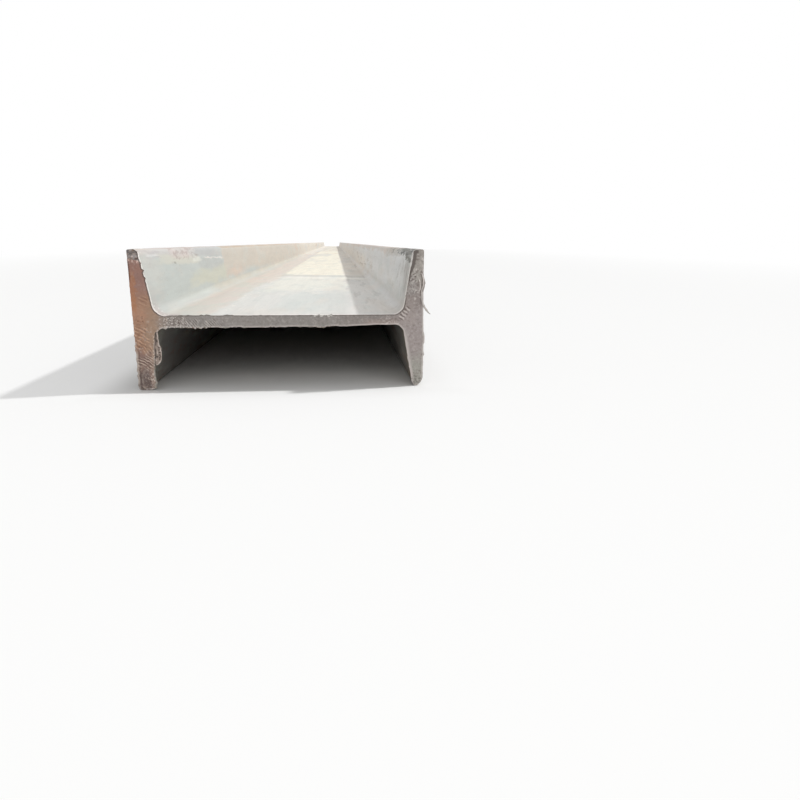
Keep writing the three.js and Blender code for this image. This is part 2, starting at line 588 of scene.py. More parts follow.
def mark_cut_edges(data, ring_firsts):
    """Sharp edges round both sawn faces."""
    pairs = np.empty(len(data.edges) * 2, np.int32)
    data.edges.foreach_get("vertices", pairs)
    low, high = np.sort(pairs.reshape(-1, 2), 1).T
    gap = high - low
    sharp = np.zeros(len(data.edges), bool)
    for first in ring_firsts:
        on_ring = (low >= first) & (high < first + FINE_COUNT)
        sharp |= on_ring & ((gap == 1) | (gap == FINE_COUNT - 1))
    layer = data.attributes.get("sharp_edge") or data.attributes.new("sharp_edge", "BOOLEAN", "EDGE")
    layer.data.foreach_set("value", sharp)


# ---------------------------------------------------------------- materials
def linear(colour):
    """A colour written 0 to 255 as the screen shows it, as the shader wants it."""
    channels = []
    for c in colour:
        c = c / 255
        channels.append(c / 12.92 if c <= 0.04045 else ((c + 0.055) / 1.055) ** 2.4)
    return (*channels, 1.0)


class Nodes:
    """A short way to write a node tree."""

    def __init__(self, tree):
        self.tree = tree

    def node(self, kind, inputs, **settings):
        """A node with its settings, and its inputs by name or number; gives the node."""
        node = self.tree.nodes.new("ShaderNode" + kind)
        for name, value in settings.items():
            setattr(node, name, value)
        for name, value in inputs.items():
            self.put(node.inputs[name], value)
        return node

    def put(self, socket, value):
        if isinstance(value, bpy.types.NodeSocket):
            self.tree.links.new(value, socket)
        else:
            socket.default_value = value

    def math(self, operation, *values):
        return self.node("Math", dict(enumerate(values)), operation=operation).outputs[0]

    def times(self, first, *others):
        for other in others:
            first = self.math("MULTIPLY", first, other)
        return first

    def plus(self, start, value, gain=1.0):
        """The start with a value times its gain added."""
        return self.math("ADD", start, self.times(value, gain))

    def rest(self, value):
        """What a value leaves of 1."""
        return self.math("SUBTRACT", 1.0, value)

    def either(self, a, b):
        return self.math("MAXIMUM", a, b)

    def seen(self):
        """1 for the rays that show the white background: camera, glossy and transmission rays."""
        rays = self.node("LightPath", {}).outputs
        passing = self.either(rays["Is Glossy Ray"], rays["Is Transmission Ray"])
        return self.either(rays["Is Camera Ray"], passing)


class Graph(Nodes):
    """A material's nodes. Places are in metres, limits and sizes in millimetres."""

    def __init__(self, name):
        self.material = bpy.data.materials.new(name)
        self.material.use_nodes = True
        super().__init__(self.material.node_tree)
        self.tree.nodes.clear()
        self.shader = self.node("BsdfPrincipled", {})
        self.output = self.node("OutputMaterial", {"Surface": self.shader.outputs["BSDF"]})
        self.place = self.node("TexCoord", {}).outputs["Object"]
        self.x, self.y, self.z = self.node("SeparateXYZ", {0: self.place}).outputs
        self.colour = None

    def step(self, value, low, high):
        """0 at low and 1 at high, smooth between; low may be the larger."""
        limits = {"From Min": min(low, high), "From Max": max(low, high)}
        ends = {"To Min": float(low > high), "To Max": float(low < high)}
        inputs = {"Value": value, **limits, **ends}
        return self.node("MapRange", inputs, interpolation_type="SMOOTHSTEP").outputs["Result"]

    def window(self, value, low, high, edge):
        rising = self.step(value, low - edge, low + edge)
        return self.times(rising, self.step(value, high + edge, high - edge))

    def ramp(self, place, *limits):
        """A step for two limits, a window for three: low, high and edge, in millimetres."""
        limits = [limit * MM for limit in limits]
        return self.window(place, *limits) if len(limits) == 3 else self.step(place, *limits)

    def noise(self, sizes, detail=2.0, rough=0.5, shift=0.0, warp=0.0):
        """Noise of the given feature sizes along x, y and z."""
        scale = [1 / (size * MM) for size in sizes]
        move = (shift, shift * 1.7, shift * 0.6)
        place = self.node("Mapping", {"Vector": self.place, "Scale": scale, "Location": move}).outputs[0]
        inputs = {"Vector": place, "Scale": 1.0, "Detail": detail, "Roughness": rough, "Distortion": warp}
        return self.node("TexNoise", inputs).outputs["Fac"]

    def swing(self, sizes, detail, rough, shift=0.0):
        """Noise that swings evenly round 0."""
        return self.math("SUBTRACT", self.noise(sizes, detail, rough, shift), 0.5)

    def spots(self, sizes, detail, rough, shift, low, high):
        """Spots where noise rises from low to high."""
        return self.step(self.noise(sizes, detail, rough, shift), low, high)

    def mix(self, amount, *tones):
        """From one tone to another by an amount; a tone is a socket or 0 to 255 on the screen."""
        a, b = (t if isinstance(t, bpy.types.NodeSocket) else linear(t) for t in tones)
        return self.node("Mix", {"Factor": amount, 6: a, 7: b}, data_type="RGBA").outputs[2]

    def paint(self, tone, *amounts):
        """Lays a tone over the colour, as strong as all the amounts multiplied."""
        self.colour = self.mix(self.times(*amounts), self.colour, tone)

    def films(self, side, first, second, *rows):
        """Paints films in turn: limits along two directions (None for all), tone and strength."""
        for first_limits, second_limits, tone, strength in rows:
            amounts = [side, strength]
            for place, limits in ((first, first_limits), (second, second_limits)):
                if limits:
                    amounts.append(self.ramp(place, *limits))
            self.paint(tone, *amounts)

    def speckle(self, place, *rows):
        """Paints spots in one place in turn: what spots() takes, then the tone and strength."""
        for *spots, tone, strength in rows:
            self.paint(tone, self.spots(*spots), place, strength)

    def shaded_by(self, amount):
        """The colour made darker or lighter by a factor."""
        return self.node("VectorMath", {0: self.colour, "Scale": amount}, operation="SCALE").outputs[0]

    def value(self, name):
        return self.node("Attribute", {}, attribute_name=name).outputs["Fac"]

    def bump(self, height, strength, distance, **normal):
        inputs = {"Height": height, "Strength": strength, "Distance": distance * MM, **normal}
        return self.node("Bump", inputs).outputs[0]

    def finish(self, roughness, normal, metallic, specular=0.5):
        self.put(self.shader.inputs["Base Color"], self.colour)
        self.put(self.shader.inputs["Roughness"], roughness)
        self.put(self.shader.inputs["Normal"], normal)
        self.shader.inputs["Metallic"].default_value = metallic
        self.shader.inputs["Specular IOR Level"].default_value = specular
        return self.material


class Skin(Graph):
    """The rolled skin's graph, with the places that its films refer to."""

    def __init__(self):
        super().__init__("rolled_skin")
        size_x = self.math("ABSOLUTE", self.x)
        self.from_near = self.math("SUBTRACT", self.y, NEAR_Y)
        self.above = self.ramp(self.z, 56, 60)
        self.back = self.ramp(size_x, 118.2, 119.4)
        self.trough_side = self.times(self.above, self.rest(self.back))
        self.left_face = self.times(self.ramp(self.x, -94, -101), self.trough_side)
        self.right_face = self.times(self.ramp(self.x, 94, 101), self.trough_side)
        self.right_side = self.times(self.ramp(self.x, 90, 98), self.trough_side)
        self.web = self.times(self.ramp(size_x, 104, 94), self.above)
        # places with ragged borders: along the beam, across the web and up the flanges
        self.ragged = self.noise((22, 70, 18), 4, 0.6, shift=15)
        self.coarse = self.math("SUBTRACT", self.ragged, 0.5)
        self.along = self.plus(self.from_near, self.coarse, 0.22)
        self.across = self.plus(self.x, self.coarse, 0.030)
        self.height = self.plus(self.z, self.coarse, 0.024)
        # the same with fine borders, for strips that drop a little away from the end
        self.small = self.swing((9, 30, 6), 5, 0.65, 6)
        self.level = self.plus(self.plus(self.z, self.from_near, 0.024), self.small, 0.007)
        self.run = self.plus(self.from_near, self.small, 0.06)
        self.mottle = self.spots((5, 16, 4), 4, 0.70, 26, 0.46, 0.58)
        # the strip of the web beside the right root, under the right flange's cast shadow, which is also
        # darkened in its colour as a painted shadow
        self.painted_shadow = self.times(self.ramp(self.across, 58, 66), self.web)


def clean_colours(g):
    """Each face's colour before films, rust and marks; the trough's pale faces are partly painted
    reflection.
    """
    # Painted reflection: the trough's near-white colours stand partly for the white sky that the
    # semi-gloss scale reflects at a grazing angle; the backs and underside keep the darker scale
    trough = g.mix(g.right_face, (189, 194, 190), (217, 218, 219))
    trough = g.mix(g.web, trough, (217, 216, 211))
    under = g.mix(g.noise((60, 400, 40), 3), (128, 130, 131), (150, 143, 136))
    g.colour = g.mix(g.above, under, trough)
    g.paint((132, 122, 102), g.ramp(g.from_near, 50, 0), g.rest(g.above), 0.6)
    outside = g.mix(g.noise((40, 700, 30), 4, shift=3), (112, 115, 118), (152, 147, 141))
    g.paint(outside, g.back)


def left_flange_films(g):
    """Films on the left flange's inner face, and painted shade along its root and fillet."""
    g.films(g.left_face, g.along, g.height, ((-200, 45, 30), (56, 130, 4), (180, 184, 182), 0.60))
    g.films(
        g.left_face, g.run, g.level,
        ((-200, 240, 20), (111.0, 140.0, 2.0), (200, 195, 192), 0.75),
        ((50, 228, 15), (103.5, 111.8, 1.8), (207, 204, 191), 0.75),
        ((100, 190, 20), (109.5, 140.0, 2.0), (208, 194, 188), 0.55),
        ((100, 240, 8), (108.0, 140.0, 1.0), (164, 146, 140), g.times(g.mottle, 0.60)),
        ((222, 384, 12), (111.8, 140.0, 2.0), (184, 184, 183), 0.85),
        ((222, 384, 15), (96.0, 110.0, 3.0), (181, 183, 180), 0.75),
        ((200, 238, 10), (105.8, 110.2, 1.6), (226, 226, 216), 0.75),
        ((260, 400, 10), (109.4, 110.8, 0.5), (238, 230, 224), 0.75),
        ((214, 230, 8), (112.2, 114.6, 1.0), (156, 146, 138), 0.80),
        ((104, 114, 3), (102.8, 105.2, 1.0), (150, 146, 134), 0.80),
        ((-200, 60, 10), (113.0, 114.6, 1.0), (172, 166, 168), 0.55),
        ((20, 55, 6), (110.6, 112.0, 1.0), (228, 224, 226), 0.45),
        ((20, 62, 6), (108.4, 110.0, 1.0), (178, 168, 172), 0.50),
        ((388, 12000, 6), (94.0, 400.0, 6.0), (203, 192, 178), 0.80),
    )
    g.films(g.left_face, g.run, g.z, ((370, 400), (112.5, 114.0), (184, 160, 132), 0.75))
    g.films(
        g.left_face, g.along, g.height,
        ((180, 400, 30), (73, 89, 4), (201, 200, 183), 0.75),
        ((400, 550, 40), (73, 85, 5), (217, 190, 170), 0.60),
    )
    # Painted shade on the left root and fillet, which face the sun more than the faces beside them;
    # further off the fillet also turns warmer
    root = g.times(g.ramp(g.z, 63.8, 70.4, 2.2), g.ramp(g.x, -90, -96), g.trough_side)
    root_shade_tone = g.mix(g.ramp(g.along, 40, 160), (188, 191, 187), (194, 197, 190))
    root_shade_tone = g.mix(g.ramp(g.along, 160, 400), root_shade_tone, (195, 189, 174))
    g.paint(root_shade_tone, root, 0.85)
    fillet_shade = g.times(g.ramp(g.x, -101, -90, 2.5), g.trough_side)
    g.paint((196, 188, 172), g.ramp(g.along, 160, 360), fillet_shade, 0.40)
    g.colour = g.shaded_by(g.rest(g.times(fillet_shade, 0.055)))


def web_films(g):
    """Films on the web, with a tan band beside the left root that is narrower further off, and painted
    shade on the strip under the right flange's cast shadow.
    """
    band_near = g.ramp(g.across, -55, -66)
    band_far = g.times(g.ramp(g.across, -41, -50), g.ramp(g.along, 300, 900))
    band = g.times(g.either(band_near, band_far), g.ramp(g.x, -100, -92), g.web)
    tones = g.spots((26, 60, 20), 4, 0.65, 13, 0.40, 0.60)
    g.paint(g.mix(tones, (205, 203, 191), (213, 201, 191)), band, 0.85)
    g.films(
        g.web, g.along, g.across,
        ((-100, 110, 30), (-110, -72, 4), (204, 202, 194), 0.60),
        ((110, 320, 30), (-100, -63, 4), (214, 202, 194), 0.45),
        ((450, 3000, 30), (-90, -50, 4), (220, 204, 190), 0.50),
        ((40, 240, 30), (-12, 58, 8), (208, 211, 206), 0.75),
        ((270, 620, 50), (-46, 70, 10), (234, 232, 219), 0.65),
    )
    # Painted shade: near the cut the sunlit web darkens towards the right flange's cast shadow, a wider
    # soft edge to it
    g.films(g.web, g.along, g.x, ((500, 100), (26, 56), (194, 192, 187), 0.36))
    # Painted shadow: the strip under the right flange's cast shadow is darker in its colour, with mottles
    # within it
    painted_shadow_tone = g.mix(g.ramp(g.along, 150, 800), (220, 217, 212), (194, 189, 181))
    g.paint(painted_shadow_tone, g.painted_shadow, 0.9)
    g.speckle(
        g.painted_shadow,
        ((9, 90, 9), 4, 0.65, 27, 0.50, 0.66, (168, 164, 156), g.times(g.ramp(g.along, 900, 600), 0.50)),
        ((8, 70, 8), 4, 0.65, 29, 0.56, 0.68, (222, 216, 210), 0.40),
    )


def chain_mark(g):
    """An old chain mark, slantwise over the web, with dust gathered beyond it."""
    slant = g.plus(g.plus(g.from_near, g.x, 0.32), g.coarse, 0.03)
    g.beyond = g.times(g.ramp(slant, 680, 710), g.ramp(g.x, -56, -46), g.web)
    # the dust is greyer within the painted shadow
    g.paint(g.mix(g.painted_shadow, (244, 238, 221), (241, 235, 226)), g.beyond, 0.85)
    g.films(g.web, slant, g.x, ((700, 950, 30), (68, 80), (178, 172, 162), 0.28))
    g.paint((226, 220, 208), g.ramp(g.from_near, 3400, 4600), g.web, 0.8)
    uneven = g.plus(0.20, g.noise((30, 30, 20), 3, shift=44), 0.50)
    g.films(
        g.web, slant, g.across,
        ((646, 680, 10), (-62, -50), (190, 184, 164), uneven),
        ((572, 612, 8), (-62, -50), (246, 243, 232), 0.50),
    )
    chips = g.spots((5, 14, 5), 3, 0.6, 18, 0.60, 0.66)
    g.films(
        g.web, g.from_near, g.across,
        ((50, 500, 50), (-62, -42, 4), (244, 238, 230), g.times(chips, 0.7)),
    )


def right_flange_films(g):
    """Films, drawn-up smears and rust spots on the right flange's inner face and root, with painted light
    low on the face and painted shade along the root.
    """
    blotch = g.spots((24, 14, 46), 4, 0.62, 22, 0.40, 0.60)
    g.films(
        g.right_side, g.along, g.height,
        ((130, 20), None, (178, 176, 172), g.times(g.plus(0.3, blotch, 0.5), 0.7)),
        # painted light: the lower part of the inner face, near and far, is lightened against the shade it
        # lies in
        ((30, 750, 30), (66, 92, 6), (240, 241, 243), 0.50),
        ((700, 850), (58, 94, 8), (234, 227, 218), 0.60),
    )
    drawn_up = g.plus(0.30, g.spots((16, 6, 50), 4, 0.65, 41, 0.42, 0.60), 0.60)
    first_strip = g.ramp(g.plus(g.from_near, g.small, 0.02), 50, 40)
    higher = g.plus(0.40, g.ramp(g.height, 74, 92), 0.60)
    g.paint((150, 143, 139), drawn_up, first_strip, higher, g.right_side, 0.9)
    worn = g.noise((7, 12, 10), 5, 0.68, shift=33)
    by_cut = g.times(g.ramp(g.along, 220, 100), g.right_side)
    g.paint((150, 146, 140), g.step(worn, 0.52, 0.66), by_cut, 0.45)
    g.paint((224, 222, 218), g.step(worn, 0.46, 0.34), by_cut, 0.40)
    # Painted shade along the right root, in the flange's shadow, giving way to a lighter tone further off
    root_shade_tone = g.mix(g.ramp(g.along, 100, 500), (184, 181, 175), (188, 181, 169))
    root_shade_tone = g.mix(g.ramp(g.along, 700, 1100), root_shade_tone, (212, 205, 194))
    ragged_root_shade = g.plus(0.30, g.step(g.ragged, 0.40, 0.62), 0.22)
    rust_spots = g.spots((14, 190, 8), 4, 0.65, 28, 0.56, 0.62)
    g.films(
        g.right_side, g.along, g.z,
        (None, (62.5, 72.5, 4.5), root_shade_tone, ragged_root_shade),
        ((550, 3000, 200), None, (146, 132, 120), g.times(rust_spots, 0.50)),
    )
    g.paint((208, 199, 188), g.ramp(g.along, 600, 1800), g.right_face, 0.6)
    g.films(g.right_side, g.run, g.height, ((160, 2200, 100), (107, 113), (186, 160, 136), 0.50))


def long_blotches(g):
    """Blotches drawn out in the rolling direction, faint on the darker backs."""
    g.films(g.trough_side, g.from_near, g.x, ((1600, 3200), (-56, -66), (240, 232, 219), 0.45))
    rosy_dust = g.noise((12, 60, 8), 3, shift=9)
    g.paint((196, 180, 170), g.ramp(g.z, 114.5, 115.4), rosy_dust, 0.8)
    open_side = g.rest(g.times(g.back, 0.85))
    g.speckle(
        open_side,
        ((34, 160, 30), 4, 0.6, 5, 0.50, 0.66, (216, 203, 190), 0.26),
        ((28, 90, 24), 4, 0.6, 9, 0.50, 0.64, (196, 203, 199), 0.26),
    )
    scale_tone = g.plus(0.86, g.noise((18, 900, 9), 4, 0.6, shift=43), 0.28)
    g.paint(g.shaded_by(scale_tone), g.back)
    # away from the near end the skin changes in long stretches
    g.speckle(
        g.times(g.ramp(g.along, 900, 2200), open_side),
        ((90, 900, 60), 3, 0.6, 35, 0.52, 0.62, (196, 196, 194), 0.40),
        ((46, 420, 34), 5, 0.65, 36, 0.57, 0.68, (200, 158, 128), 0.40),
    )


def old_rust(g):
    """Rust along the lower trough and the backs, in long patches and freckles."""
    place = g.either(g.times(g.ramp(g.z, 58, 54), 0.8), g.times(g.back, 0.5))
    patches = g.noise((24, 200, 20), 6, 0.62, shift=12, warp=0.25)
    g.rust = g.times(g.step(patches, 0.54, 0.70), place)
    g.paint((150, 106, 78), g.rust, 0.45)
    clusters = g.times(g.spots((50, 300, 40), 3, 0.5, 38, 0.42, 0.56), place)
    g.speckle(clusters, ((5, 13, 5), 5, 0.7, 37, 0.53, 0.64, (138, 98, 74), 0.55))
    g.speckle(g.back, ((1.6, 420, 1.6), 2, 0.6, 39, 0.60, 0.68, (176, 174, 171), 0.35))


def streaks_and_specks(g):
    """Drawn streaks, specks and pits all over, and a smudge high on the right flange."""
    g.streak = g.noise((2.2, 260, 2.2), 3, 0.6, shift=1)
    g.colour = g.shaded_by(g.plus(0.94, g.streak, 0.12))
    patchy = g.noise((7, 80, 7), 6, 0.70, shift=31)
    g.colour = g.shaded_by(g.plus(0.84, patchy, 0.32))
    g.speck = g.noise((2.4, 4.5, 2.4), 3, 0.65, shift=4)
    g.paint((158, 144, 130), g.step(g.speck, 0.62, 0.72), 0.35)
    g.paint((240, 238, 232), g.step(g.speck, 0.35, 0.28), 0.30)
    g.films(
        g.right_face, g.run, g.level,
        ((100, 280, 40), (110.5, 112.5), (158, 148, 132), g.times(g.plus(0.4, g.mottle, 0.5), 0.7)),
    )


def strips_by_cut(g):
    """The first strips of the web: darker on the sunny side, painted light where the painted shadow
    starts, pink at the left.
    """
    g.films(
        1.0, g.from_near, g.x,
        ((30, 6), (30, 60, 6), (200, 198, 192), g.times(g.web, 0.45)),
        # painted light over the near end of the painted shadow
        ((140, 20), (56, 70, 4), (232, 230, 226), 0.45),
        ((24, 8), (-104, -86, 4), (186, 175, 171), g.times(g.trough_side, 0.90)),
    )


def corner_stain(g):
    """A dark smeared stain in the upper corner of the right flange."""
    edge = g.plus(g.z, g.swing((5, 18, 5), 5, 0.72, 24), 0.014)
    edge = g.math("SUBTRACT", edge, g.math("MINIMUM", g.times(g.from_near, 0.078), 0.0066))
    corner = g.times(g.ramp(edge, 103.6, 104.4), g.ramp(g.run, 135, 100))
    specks = g.spots((5, 20, 3), 4, 0.7, 30, 0.50, 0.56)
    line = g.times(g.ramp(edge, 104.0, 105.6), g.ramp(g.run, 270, 220), specks, 0.75)
    holes = g.spots((5, 26, 3.4), 3, 0.65, 7, 0.40, 0.50)
    corner = g.either(g.times(corner, g.plus(0.42, holes, 0.58)), line)
    tone = g.mix(g.spots((4, 24, 3.2), 3, 0.65, 8, 0.46, 0.58), (96, 94, 84), (38, 38, 33))
    g.paint(tone, corner, g.right_face)


def burnished_lip_and_highlight(g):
    """The bright lip beside the saw cut, burnished steel with a painted highlight along it, nicked brown
    on the left flange.
    """
    rim = g.value("rim")
    uneven = g.swing((2.6, 5, 2.6), 4, 0.7, 19)
    edge = g.plus(rim, uneven, 9.0)
    lip = g.either(g.step(edge, 4.4, 2.6), g.times(g.right_face, g.step(edge, 10.0, 7.0)))
    lip = g.either(lip, g.times(g.web, g.step(edge, 7.0, 4.5), g.ramp(g.x, -90, -60)))
    lip = g.times(lip, g.either(g.above, g.times(g.back, 0.6)))
    # the lip's near white is partly bare steel and partly painted highlight
    g.paint((250, 244, 239), lip, g.plus(0.42, g.step(uneven, -0.08, 0.06), 0.36))
    nicks = g.times(g.step(uneven, 0.06, 0.11), g.step(rim, 4.5, 3.0))
    g.paint((128, 98, 80), nicks, g.left_face, 0.8)
    chips = g.times(g.step(uneven, 0.05, 0.09), g.step(rim, 24.0, 10.0))
    g.films(chips, g.x, g.z, ((-90, -96), (61, 72, 2), (250, 248, 243), 0.60))


def rolled_skin():
    """Mill scale: semi-gloss grey, drawn out lengthwise, with films of dust and rust in places, and pale
    trough faces that are partly painted reflection.
    """
    g = Skin()
    for layer in (clean_colours, left_flange_films, web_films, chain_mark, right_flange_films,
                  long_blotches, old_rust, streaks_and_specks, strips_by_cut, corner_stain,
                  burnished_lip_and_highlight):
        layer(g)
    rough = g.plus(0.38, g.streak, 0.14)
    rough = g.plus(rough, g.rust, 0.3)
    rough = g.plus(rough, g.beyond, 0.25)
    rough = g.plus(rough, g.rest(g.above), 0.12)
    relief = g.plus(g.times(g.streak, 0.5), g.speck, 0.5)
    normal = g.bump(relief, 0.35, 0.12)
    normal = g.bump(g.noise((24, 70, 24), 2, shift=6), 0.25, 0.5, Normal=normal)
    # the specular is kept low, and the trough's pale colours carry part of the reflection as painted
    # reflection
    return g.finish(rough, normal, 0.25, specular=0.2)


class SawCut(Graph):
    """The sawn ends' graph, with the places and values that its marks refer to."""

    def __init__(self):
        super().__init__("sawn_end")
        self.near = self.ramp(self.y, 100, -100)
        self.relief = self.value("relief")
        self.fine = self.noise((2.3, 2.3, 2.3), 4, 0.72, shift=11)
        self.worn_rim = self.plus(self.value("rim"), self.math("SUBTRACT", self.fine, 0.5))
        # places with wandering borders
        self.drift = self.times(self.swing((12, 12, 12), 4, 0.65), 0.016)
        self.drift_x = self.plus(self.x, self.drift)
        self.drift_z = self.plus(self.z, self.drift)
        self.above = self.ramp(self.z, 57, 60)
        self.inner = self.ramp(self.math("ABSOLUTE", self.x), 116.5, 115.0)
        self.right = self.ramp(self.x, 92, 100)
        self.left = self.times(self.ramp(self.drift_x, -91, -106), self.near)
        self.wormed = self.times(self.ramp(self.drift_x, -98, -78, 4), self.ramp(self.z, 50, 53))

    def drifting(self, *rows):
        """Films with wandering borders, by their limits across and up."""
        self.films(1.0, self.drift_x, self.drift_z, *rows)

    def sharp(self, *rows):
        """Films with steady borders, by their limits across and up."""
        self.films(1.0, self.x, self.z, *rows)


def web_and_right_cut(g):
    """The web and the right flange: mauve grey, with paler and browner places."""
    grey = g.mix(g.noise((6, 6, 6), 4, 0.65, shift=2), (133, 129, 125), (155, 148, 143))
    mauve = g.mix(g.noise((8, 8, 8), 4, 0.65, shift=4), (151, 141, 138), (168, 158, 155))
    g.colour = g.mix(g.ramp(g.drift_x, 80, 100), grey, mauve)
    g.films(
        g.right, g.drift_x, g.drift_z,
        (None, (34, 16), (161, 158, 150), 1.0),
        (None, (76, 90), (162, 156, 149), 1.0),
        (None, (66, 88, 4), (136, 126, 121), 0.60),
    )
    g.drifting(
        ((102, 113.5, 2), (78, 94, 4), (158, 152, 148), 0.75),
        (None, (105, 108), (148, 140, 134), g.times(g.right, 0.45)),
        ((101, 112.5, 2), (52, 74, 3), (172, 160, 154), 0.25),
        ((50, 98, 6), (45, 66, 4), (132, 122, 117), 0.40),
    )
    g.paint((126, 113, 104), g.wormed, 0.50)
    g.films(1.0, g.drift_x, g.z, ((70, 98, 6), (60, 55), (166, 146, 138), 0.50))


def left_flange_cut(g):
    """The left flange: rosy above, rust-orange in the middle, brown below."""
    rosy = g.mix(g.noise((5, 5, 8), 4, 0.65, shift=6), (138, 106, 96), (160, 124, 112))
    orange = g.mix(g.noise((6, 6, 6), 4, 0.65, shift=8), (148, 112, 88), (180, 139, 114))
    brown = g.mix(g.noise((4, 4, 4), 4, 0.65, shift=3), (88, 74, 69), (128, 110, 103))
    elsewhere = g.colour
    g.colour = g.mix(g.ramp(g.drift_z, 88, 70), rosy, orange)
    g.drifting(
        ((-116, -104), (30, 70, 10), (160, 140, 122), 0.60),
        (None, (36, 26), (142, 117, 106), 1.0),
        ((-108, -112), (58, 69, 2), (180, 138, 114), 0.60),
    )
    rust_flecks = g.spots((1.9, 1.9, 1.6), 3, 0.6, 51, 0.50, 0.58)
    g.films(rust_flecks, g.x, g.z, ((-117.5, -112.0, 1), (55.5, 62.5, 1), (112, 70, 46), 0.75))
    g.drifting(
        ((-111.0, -115.0), (16, 56, 4), (118, 88, 70), 0.18),
        ((-111.5, -108.0), (16, 56, 4), (166, 143, 122), 0.24),
        ((-109.0, -106.0), (14, 30, 3), (176, 152, 136), 0.40),
        ((-111.0, -114.5), (26.5, 34.5, 2), (134, 108, 104), 0.50),
        ((-115.0, -108.5, 1), (14, 20, 2), (116, 98, 90), 0.50),
        ((-111.5, -109.5), (15, 9), (152, 136, 124), 0.50),
        ((-110.0, -112.5), (20, 13), brown, 1.0),
    )
    # a pale arc round the outer foot
    arc_x = g.plus(g.x, 0.1120)
    arc_z = g.times(g.plus(g.z, -0.0090), 0.55)
    from_middle = g.math("SQRT", g.plus(g.times(arc_x, arc_x), arc_z, arc_z))
    g.films(1.0, g.x, from_middle, ((-111, -114), (4.0, 5.2, 0.5), (168, 152, 142), 0.40))
    flecks = g.spots((1.4, 1.4, 2.2), 3, 0.65, 31, 0.51, 0.58)
    g.films(flecks, g.x, g.z, ((-110.8, -109.0), (19, 14), (230, 214, 202), 0.80))
    g.drifting(
        ((-115, -117.5), (64, 98, 6), (172, 116, 78), 0.60),
        (None, (98.5, 105.0, 3), (150, 110, 95), 0.50),
    )
    grey_tip(g)
    g.colour = g.mix(g.left, elsewhere, g.colour)


def grey_tip(g):
    """The left flange's grey tip, with an uneven edge, pale beads and one dark nick."""
    tip_edge = g.plus(g.plus(g.z, g.plus(g.x, 0.112), 0.16), g.drift, 0.12)
    mottled = g.spots((3, 3, 3), 4, 0.7, 1, 0.38, 0.62)
    tone = g.mix(mottled, (116, 108, 104), (166, 157, 154))
    g.paint(tone, g.ramp(tip_edge, 106.4, 107.4))
    pale = g.spots((1.9, 2.0, 1.5), 2, 0.6, 45, 0.50, 0.57)
    pale = g.times(pale, g.ramp(tip_edge, 105.0, 107.4, 0.5))
    g.sharp(
        ((-116.0, -118.2), (110.0, 112.5), (80, 76, 76), 0.70),
        (None, None, (232, 202, 190), g.times(pale, 0.75)),
        ((-117.1, -115.6, 0.4), (109.6, 110.7, 0.3), (214, 196, 192), 0.80),
        ((-113.8, -111.2, 0.5), (107.8, 109.1, 0.4), (88, 56, 48), 0.80),
    )


def ridge_light_and_groove_shade(g):
    """Painted light on the saw ridges and painted shade in the grooves, rust-coloured on the left leg,
    less so on the smooth upper left.
    """
    inwards = g.ramp(g.x, -100, -80)
    rusty = g.times(g.left, g.ramp(g.drift_z, 31, 37))
    ridge_highlight = g.mix(inwards, (214, 194, 180), (219, 211, 205))
    ridge_highlight = g.mix(g.times(rusty, 0.75), ridge_highlight, (204, 158, 126))
    groove = g.mix(inwards, (84, 66, 58), (84, 68, 61))
    groove = g.mix(rusty, groove, (108, 70, 50))
    smooth = g.times(g.ramp(g.x, -100, -106), g.ramp(g.z, 60, 103, 4), g.near)
    calm = g.rest(g.times(smooth, 0.6))
    # painted light on the high relief and painted shade on the low relief
    g.paint(ridge_highlight, g.step(g.relief, 0.15, 0.95), calm, 0.66)
    g.paint(groove, g.step(g.relief, -0.15, -0.95), calm, 0.58)
    g.paint((198, 188, 182), g.step(g.fine, 0.52, 0.70), calm, 0.44)
    g.paint((88, 77, 72), g.step(g.fine, 0.48, 0.30), calm, 0.40)
    g.speckle(g.wormed, ((1.3, 1.3, 1.3), 3, 0.6, 46, 0.545, 0.615, (230, 222, 216), 0.72))


def painted_edge_shade(g):
    """Painted shade: a dark line under the upper edges, where the burrs overhang, broad at the top of the
    right flange.
    """
    steep = g.ramp(g.math("ABSOLUTE", g.x), 92, 102)
    faint = g.times(g.ramp(g.x, 92, 102), g.ramp(g.z, 75.5, 89.5, 2))
    line = g.times(g.plus(0.42, steep, 0.36), g.rest(g.times(faint, 0.65)))
    under_edge = g.times(g.above, g.inner)
    g.paint((84, 74, 68), line, g.step(g.worn_rim, 1.5, 0.6), under_edge)
    # a dark brown rim high on the left flange's outer edge
    g.films(g.step(g.worn_rim, 1.5, 0.7), g.x, g.z, ((-116.5, -118.0), (90, 108, 3), (84, 56, 46), 0.70))
    # the broad painted shade lies behind a rubbed bright corner
    high_right = g.times(g.ramp(g.x, 100, 104), g.ramp(g.z, 80, 92))
    corner = g.times(g.ramp(g.drift_z, 94, 104), high_right)
    set_in = g.plus(g.worn_rim, corner, -1.1)
    narrower = g.plus(set_in, g.ramp(g.z, 107, 90), 1.2)
    broad = g.times(g.window(narrower, -0.9, 2.4, 0.6), g.ramp(g.z, 86, 93))
    g.paint((86, 77, 72), broad, high_right, under_edge, 0.85)
    g.paint((216, 212, 208), g.step(set_in, -0.1, -0.8), corner, under_edge, 0.75)


